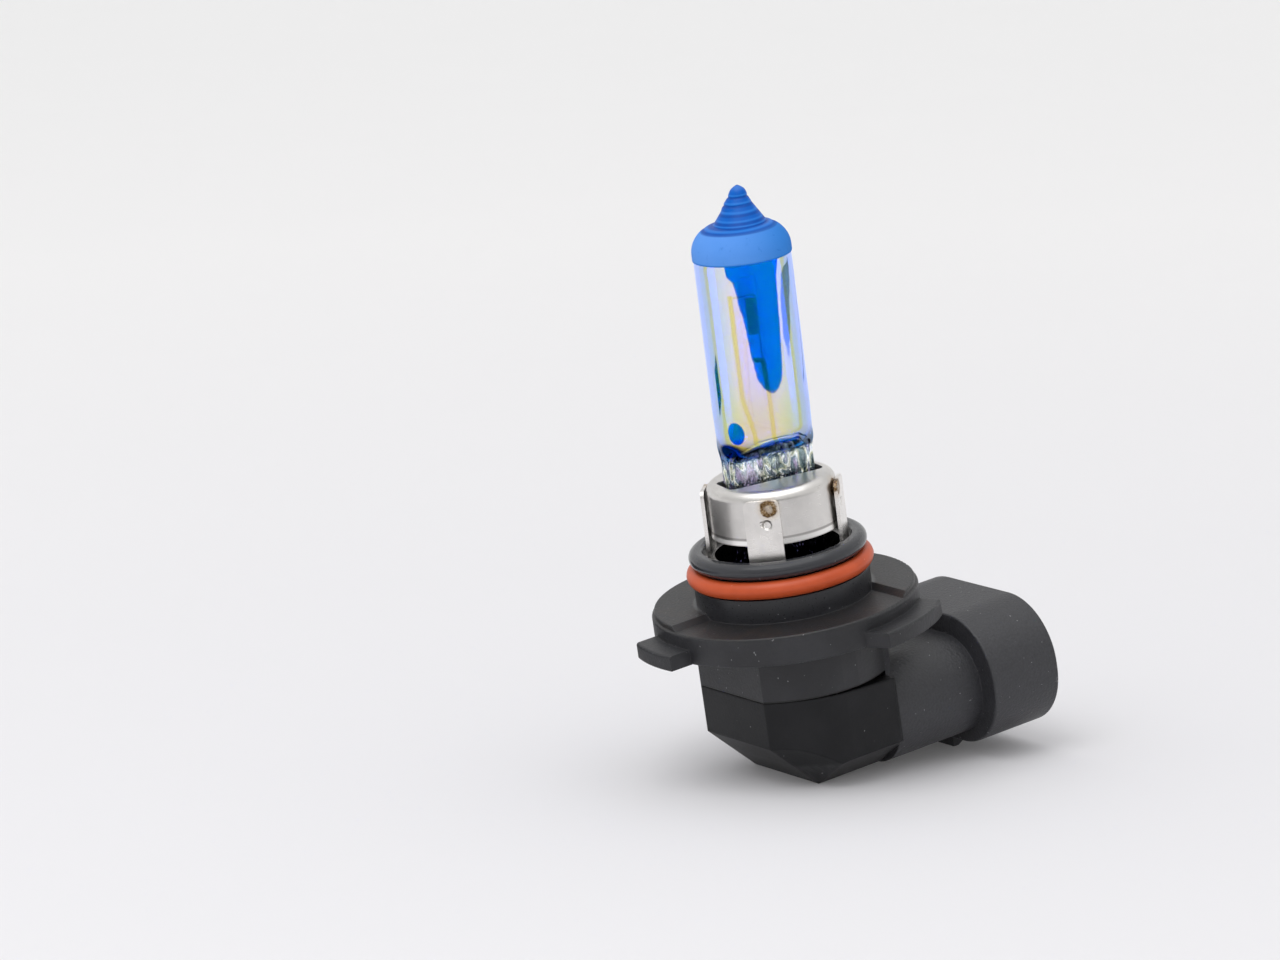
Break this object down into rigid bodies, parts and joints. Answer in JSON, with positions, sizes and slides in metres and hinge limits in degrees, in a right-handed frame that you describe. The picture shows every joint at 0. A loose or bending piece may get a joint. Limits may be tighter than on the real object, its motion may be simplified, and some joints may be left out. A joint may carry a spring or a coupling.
{
  "type": "headlight bulb",
  "caption": "Right-angle halogen headlight bulb: blue-coated glass capsule on a sealed plastic cap with bayonet lugs and a side plug socket.",
  "frame": {"origin": "on the bulb's axis, at the front seating face of the flange", "axes": "+Z along the bulb's axis from the cap to the glass tip; +X the way the plug socket opens; +Y completes a right-handed frame"},
  "size_m": [0.044, 0.0348, 0.0695],
  "materials": {
    "tungsten": "drawn tungsten wire",
    "dome_blue": "matt blue ceramic coat",
    "blue_glass": "clear quartz with a thin blue filter coat",
    "molybdenum": "drawn molybdenum wire",
    "foil": "thin molybdenum foil",
    "cap_plastic": "moulded glass-filled plastic, fine spark-eroded grain",
    "cover_plastic": "moulded glass-filled plastic, smooth satin",
    "seal_rubber": "orange-red silicone rubber, satin",
    "ring_steel": "pressed nickel-plated steel",
    "cup_steel": "drawn nickel-plated steel, satin",
    "clip_steel": "bright spring steel strip",
    "tinned_brass": "tin-plated brass",
    "potting": "dark silicone compound"
  },
  "bodies": {
    "root": {"filament": "tungsten", "dome_coating": "dome_blue", "glass_envelope": "blue_glass", "long_support_wire": "molybdenum", "short_support_wire": "molybdenum", "outer_lead_near": "molybdenum", "outer_lead_far": "molybdenum", "sealing_foil_near": "foil", "sealing_foil_far": "foil", "base_body": "cap_plastic", "rear_cover": "cover_plastic", "o_ring_seal": "seal_rubber", "tab_ring": "ring_steel", "pinch_cup": "cup_steel", "pinch_clip": "clip_steel", "terminal_near": "tinned_brass", "terminal_far": "tinned_brass", "terminal_potting": "potting"}
  },
  "joints": []
}
